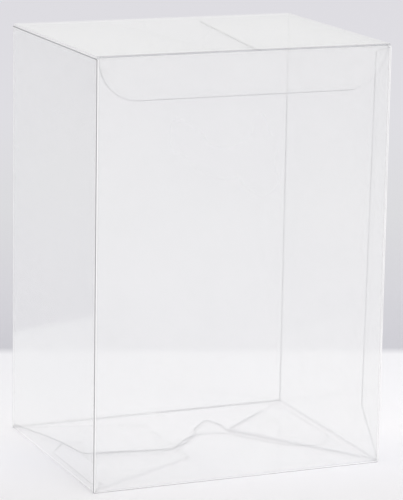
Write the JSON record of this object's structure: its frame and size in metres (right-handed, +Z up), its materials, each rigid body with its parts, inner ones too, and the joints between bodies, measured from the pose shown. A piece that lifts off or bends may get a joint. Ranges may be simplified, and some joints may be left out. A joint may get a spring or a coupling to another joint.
{
  "type": "figure box protector",
  "caption": "Clear folded film box with a tuck-in hinged lid, dust flaps and a self-locking bottom, for covering a boxed figure.",
  "frame": {"origin": "middle of the bottom, on the surface that the box stands on", "axes": "+Z up along the box's height, +X along its width to the right as seen from the front, +Y from the front wall to the back wall"},
  "size_m": [0.116, 0.091, 0.16],
  "materials": {
    "clear_film": "clear glossy film, about half a millimetre thick"
  },
  "bodies": {
    "box": {"box_shell": "clear_film"},
    "lid": {"lid": "clear_film"}
  },
  "joints": [
    {"name": "lid_hinge", "type": "hinge", "parent": "box", "child": "lid", "pos_m": [0, 0.04525, 0.15975], "axis": [-1, 0, 0], "range_deg": [0, 180]}
  ]
}
